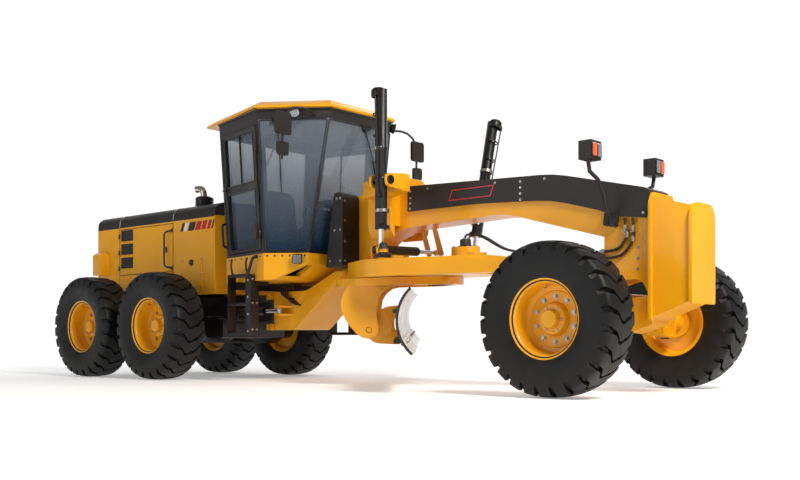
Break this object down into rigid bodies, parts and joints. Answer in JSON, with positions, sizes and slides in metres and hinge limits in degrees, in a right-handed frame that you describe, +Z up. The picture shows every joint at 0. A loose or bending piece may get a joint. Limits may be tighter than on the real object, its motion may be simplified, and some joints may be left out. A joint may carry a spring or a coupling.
{
  "type": "articulated motor grader",
  "caption": "Articulated motor grader: rear engine on oscillating tandem wheels, cab, arched boom, turning blade circle with curved moldboard, leaning steered front wheels.",
  "frame": {"origin": "on the ground, midway between the rear counterweight and the front block and on the centre line", "axes": "+X forwards, +Y to the machine's left, +Z up"},
  "size_m": [9.08, 3.4082, 3.24],
  "materials": {
    "yellow_paint": "gloss machine enamel",
    "charcoal_paint": "satin dark grey paint",
    "tyre_rubber": "matt, moulded tread",
    "cast_steel": "cast and machined",
    "plated_rod": "hard chrome",
    "blade_steel": "worn bare steel",
    "tinted_glass": "clear",
    "seat_cloth": "woven cloth",
    "console_plastic": "textured"
  },
  "bodies": {
    "rear_frame_body": {"rear_frame": "charcoal_paint", "engine_block": "cast_steel", "hood": "yellow_paint", "hood_top": "charcoal_paint", "exhaust_pipe": "plated_rod"},
    "front_frame_body": {"front_frame": "yellow_paint", "boom_cover": "charcoal_paint", "lift_saddle": "yellow_paint", "cab_base": "yellow_paint", "cab_frame": "charcoal_paint", "cab_roof": "yellow_paint", "front_glass": "tinted_glass", "rear_glass": "tinted_glass", "operator_seat": "seat_cloth", "steering_console": "console_plastic", "front_cab_box": "charcoal_paint", "access_ladders": "charcoal_paint"},
    "hood_door_left": {"hood_door_left": "yellow_paint"},
    "tandem_left": {"tandem_case_left": "charcoal_paint"},
    "wheel_left_tandem_front": {"tyre_left_tandem_front": "tyre_rubber", "rim_left_tandem_front": "yellow_paint"},
    "wheel_left_tandem_rear": {"tyre_left_tandem_rear": "tyre_rubber", "rim_left_tandem_rear": "yellow_paint"},
    "cab_door_left": {"cab_door_left": "charcoal_paint", "door_glass_left": "tinted_glass"},
    "hood_door_right": {"hood_door_right": "yellow_paint"},
    "tandem_right": {"tandem_case_right": "charcoal_paint"},
    "wheel_right_tandem_front": {"tyre_right_tandem_front": "tyre_rubber", "rim_right_tandem_front": "yellow_paint"},
    "wheel_right_tandem_rear": {"tyre_right_tandem_rear": "tyre_rubber", "rim_right_tandem_rear": "yellow_paint"},
    "cab_door_right": {"cab_door_right": "charcoal_paint", "door_glass_right": "tinted_glass"},
    "front_axle": {"front_axle": "yellow_paint"},
    "lean_bracket_left": {"lean_bracket_left": "yellow_paint"},
    "steering_knuckle_left": {"steering_knuckle_left": "yellow_paint"},
    "wheel_left_front": {"tyre_left_front": "tyre_rubber", "rim_left_front": "yellow_paint"},
    "lean_bracket_right": {"lean_bracket_right": "yellow_paint"},
    "steering_knuckle_right": {"steering_knuckle_right": "yellow_paint"},
    "wheel_right_front": {"tyre_right_front": "tyre_rubber", "rim_right_front": "yellow_paint"},
    "lean_bar": {"lean_bar": "charcoal_paint"},
    "tie_rod_end": {"tie_rod_end": "charcoal_paint"},
    "tie_rod": {"tie_rod": "cast_steel"},
    "drawbar_pivot": {"drawbar_pivot": "cast_steel"},
    "drawbar": {"drawbar": "yellow_paint"},
    "blade_circle": {"blade_circle": "yellow_paint"},
    "tilt_bracket": {"tilt_bracket": "yellow_paint"},
    "moldboard": {"moldboard": "blade_steel"},
    "lift_barrel_left": {"lift_barrel_left": "charcoal_paint"},
    "lift_rod_left": {"lift_rod_left": "plated_rod"},
    "articulation_barrel_left": {"articulation_barrel_left": "charcoal_paint"},
    "articulation_rod_left": {"articulation_rod_left": "plated_rod"},
    "lift_barrel_right": {"lift_barrel_right": "charcoal_paint"},
    "lift_rod_right": {"lift_rod_right": "plated_rod"},
    "articulation_barrel_right": {"articulation_barrel_right": "charcoal_paint"},
    "articulation_rod_right": {"articulation_rod_right": "plated_rod"},
    "centre_shift_barrel": {"centre_shift_barrel": "charcoal_paint"},
    "centre_shift_rod": {"centre_shift_rod": "plated_rod"}
  },
  "joints": [
    {"name": "articulation", "type": "hinge", "parent": "rear_frame_body", "child": "front_frame_body", "pos_m": [-1.17, 0, 0.85], "axis": [0, 0, 1], "range_deg": [-25, 25]},
    {"name": "hood_door_left_hinge", "type": "hinge", "parent": "rear_frame_body", "child": "hood_door_left", "pos_m": [-3.835, 0.6, 1.72], "axis": [0, 0, 1], "range_deg": [0, 80]},
    {"name": "tandem_left_pivot", "type": "hinge", "parent": "rear_frame_body", "child": "tandem_left", "pos_m": [-2.92, 0.7, 0.675], "axis": [0, -1, 0], "range_deg": [-15, 15]},
    {"name": "wheel_left_tandem_front_axle", "type": "hinge", "parent": "tandem_left", "child": "wheel_left_tandem_front", "pos_m": [-2.151, 1.11, 0.675], "axis": [0, 1, 0], "continuous": true},
    {"name": "wheel_left_tandem_rear_axle", "type": "hinge", "parent": "tandem_left", "child": "wheel_left_tandem_rear", "pos_m": [-3.689, 1.11, 0.675], "axis": [0, 1, 0], "continuous": true},
    {"name": "cab_door_left_hinge", "type": "hinge", "parent": "front_frame_body", "child": "cab_door_left", "pos_m": [-0.45905, 0.94092, 2.26], "axis": [-0.0004, -0.0654, -0.9979], "range_deg": [0, 90]},
    {"name": "hood_door_right_hinge", "type": "hinge", "parent": "rear_frame_body", "child": "hood_door_right", "pos_m": [-3.835, -0.6, 1.72], "axis": [0, 0, -1], "range_deg": [0, 80]},
    {"name": "tandem_right_pivot", "type": "hinge", "parent": "rear_frame_body", "child": "tandem_right", "pos_m": [-2.92, -0.7, 0.675], "axis": [0, -1, 0], "range_deg": [-15, 15]},
    {"name": "wheel_right_tandem_front_axle", "type": "hinge", "parent": "tandem_right", "child": "wheel_right_tandem_front", "pos_m": [-2.151, -1.11, 0.675], "axis": [0, 1, 0], "continuous": true},
    {"name": "wheel_right_tandem_rear_axle", "type": "hinge", "parent": "tandem_right", "child": "wheel_right_tandem_rear", "pos_m": [-3.689, -1.11, 0.675], "axis": [0, 1, 0], "continuous": true},
    {"name": "cab_door_right_hinge", "type": "hinge", "parent": "front_frame_body", "child": "cab_door_right", "pos_m": [-0.45905, -0.94092, 2.26], "axis": [0.0004, -0.0654, 0.9979], "range_deg": [0, 90]},
    {"name": "front_axle_rock", "type": "hinge", "parent": "front_frame_body", "child": "front_axle", "pos_m": [3.73, 0, 0.78], "axis": [1, 0, 0], "range_deg": [-15, 15]},
    {"name": "wheel_lean_left", "type": "hinge", "parent": "front_axle", "child": "lean_bracket_left", "pos_m": [3.73, 0.72, 0.6], "axis": [1, 0, 0], "range_deg": [-18, 18]},
    {"name": "steering_left", "type": "hinge", "parent": "lean_bracket_left", "child": "steering_knuckle_left", "pos_m": [3.73, 0.862, 0.675], "axis": [0, 0, 1], "range_deg": [-45, 45]},
    {"name": "wheel_left_front_axle", "type": "hinge", "parent": "steering_knuckle_left", "child": "wheel_left_front", "pos_m": [3.73, 1.18, 0.675], "axis": [0, 1, 0], "continuous": true},
    {"name": "wheel_lean_right", "type": "hinge", "parent": "front_axle", "child": "lean_bracket_right", "pos_m": [3.73, -0.72, 0.6], "axis": [1, 0, 0], "range_deg": [-18, 18]},
    {"name": "steering_right", "type": "hinge", "parent": "lean_bracket_right", "child": "steering_knuckle_right", "pos_m": [3.73, -0.862, 0.675], "axis": [0, 0, 1], "range_deg": [-45, 45]},
    {"name": "wheel_right_front_axle", "type": "hinge", "parent": "steering_knuckle_right", "child": "wheel_right_front", "pos_m": [3.73, -1.18, 0.675], "axis": [0, 1, 0], "continuous": true},
    {"name": "lean_bar_pin", "type": "hinge", "parent": "lean_bracket_left", "child": "lean_bar", "pos_m": [3.848, 0.72, 0.9], "axis": [1, 0, 0], "range_deg": [-18, 18]},
    {"name": "tie_rod_end_pin", "type": "hinge", "parent": "steering_knuckle_left", "child": "tie_rod_end", "pos_m": [3.48, 0.862, 0.815], "axis": [0, 0, 1], "range_deg": [-45, 45]},
    {"name": "tie_rod_pin", "type": "hinge", "parent": "tie_rod_end", "child": "tie_rod", "pos_m": [3.48, 0.862, 0.815], "axis": [1, 0, 0], "range_deg": [-18, 18]},
    {"name": "drawbar_swing", "type": "hinge", "parent": "front_frame_body", "child": "drawbar_pivot", "pos_m": [3.31, 0, 1.22], "axis": [0.0015, -0.0401, 0.9992], "range_deg": [-7.5, 7.5]},
    {"name": "drawbar_lift", "type": "hinge", "parent": "drawbar_pivot", "child": "drawbar", "pos_m": [3.31, 0, 1.22], "axis": [-0.0384, 0.9985, 0.0401], "range_deg": [-20, 0.8]},
    {"name": "circle_turn", "type": "hinge", "parent": "drawbar", "child": "blade_circle", "pos_m": [0.98172, -0.08944, 1.22], "axis": [-0.0015, 0.0401, -0.9992], "range_deg": [-15, 95]},
    {"name": "blade_pitch", "type": "hinge", "parent": "blade_circle", "child": "tilt_bracket", "pos_m": [0.7269, -0.27642, 0.62241], "axis": [-0.6387, 0.7688, 0.0318], "range_deg": [-5, 40]},
    {"name": "blade_side_shift", "type": "slide", "parent": "tilt_bracket", "child": "moldboard", "axis": [0.6387, -0.7688, -0.0318], "range_m": [-0.5, 0.5]},
    {"name": "lift_barrel_left_trunnion", "type": "hinge", "parent": "front_frame_body", "child": "lift_barrel_left", "pos_m": [1.415, 0.87, 2.15], "axis": [1, 0, 0], "range_deg": [-19, 19]},
    {"name": "lift_rod_left_stroke", "type": "slide", "parent": "lift_barrel_left", "child": "lift_rod_left", "axis": [0, -0.2314, -0.9729], "range_m": [-0.03, 0.69]},
    {"name": "articulation_barrel_left_pin", "type": "hinge", "parent": "rear_frame_body", "child": "articulation_barrel_left", "pos_m": [-1.535, 0.4, 0.85], "axis": [0, 0, 1], "range_deg": [-15, 15]},
    {"name": "articulation_rod_left_stroke", "type": "slide", "parent": "articulation_barrel_left", "child": "articulation_rod_left", "axis": [0.9997, 0.0231, 0], "range_m": [-0.18, 0.18]},
    {"name": "lift_barrel_right_trunnion", "type": "hinge", "parent": "front_frame_body", "child": "lift_barrel_right", "pos_m": [1.415, -0.87, 2.15], "axis": [1, 0, 0], "range_deg": [-19, 19]},
    {"name": "lift_rod_right_stroke", "type": "slide", "parent": "lift_barrel_right", "child": "lift_rod_right", "axis": [0, -0.0002, -1], "range_m": [-0.03, 0.69]},
    {"name": "articulation_barrel_right_pin", "type": "hinge", "parent": "rear_frame_body", "child": "articulation_barrel_right", "pos_m": [-1.535, -0.4, 0.85], "axis": [0, 0, 1], "range_deg": [-15, 15]},
    {"name": "articulation_rod_right_stroke", "type": "slide", "parent": "articulation_barrel_right", "child": "articulation_rod_right", "axis": [0.9997, -0.0231, 0], "range_m": [-0.18, 0.18]},
    {"name": "centre_shift_barrel_pin", "type": "hinge", "parent": "drawbar", "child": "centre_shift_barrel", "pos_m": [1.23726, -0.75002, 1.4533], "axis": [0.9993, 0.0384, 0], "range_deg": [-2, 35]},
    {"name": "centre_shift_stroke", "type": "slide", "parent": "centre_shift_barrel", "child": "centre_shift_rod", "axis": [-0.0264, 0.999, 0.0356], "range_m": [-0.27, 0.27]}
  ],
  "couplings": [
    {"joint": "wheel_lean_right", "follows": "wheel_lean_left", "ratio": 1},
    {"joint": "steering_right", "follows": "steering_left", "ratio": 1},
    {"joint": "lean_bar_pin", "follows": "wheel_lean_left", "ratio": -1},
    {"joint": "tie_rod_end_pin", "follows": "steering_left", "ratio": -1},
    {"joint": "tie_rod_pin", "follows": "wheel_lean_left", "ratio": -0.835},
    {"joint": "lift_barrel_left_trunnion", "follows": "drawbar_swing", "ratio": -2.5},
    {"joint": "lift_rod_left_stroke", "follows": "drawbar_lift", "m_per_rad": -1.88},
    {"joint": "articulation_barrel_left_pin", "follows": "articulation", "ratio": 0.589},
    {"joint": "articulation_rod_left_stroke", "follows": "articulation", "m_per_rad": -0.408},
    {"joint": "lift_barrel_right_trunnion", "follows": "drawbar_swing", "ratio": -2.5},
    {"joint": "lift_rod_right_stroke", "follows": "drawbar_lift", "m_per_rad": -1.93},
    {"joint": "articulation_barrel_right_pin", "follows": "articulation", "ratio": 0.589},
    {"joint": "articulation_rod_right_stroke", "follows": "articulation", "m_per_rad": 0.408},
    {"joint": "centre_shift_barrel_pin", "follows": "drawbar_lift", "ratio": -1.7},
    {"joint": "centre_shift_stroke", "follows": "drawbar_swing", "m_per_rad": 2.05}
  ]
}
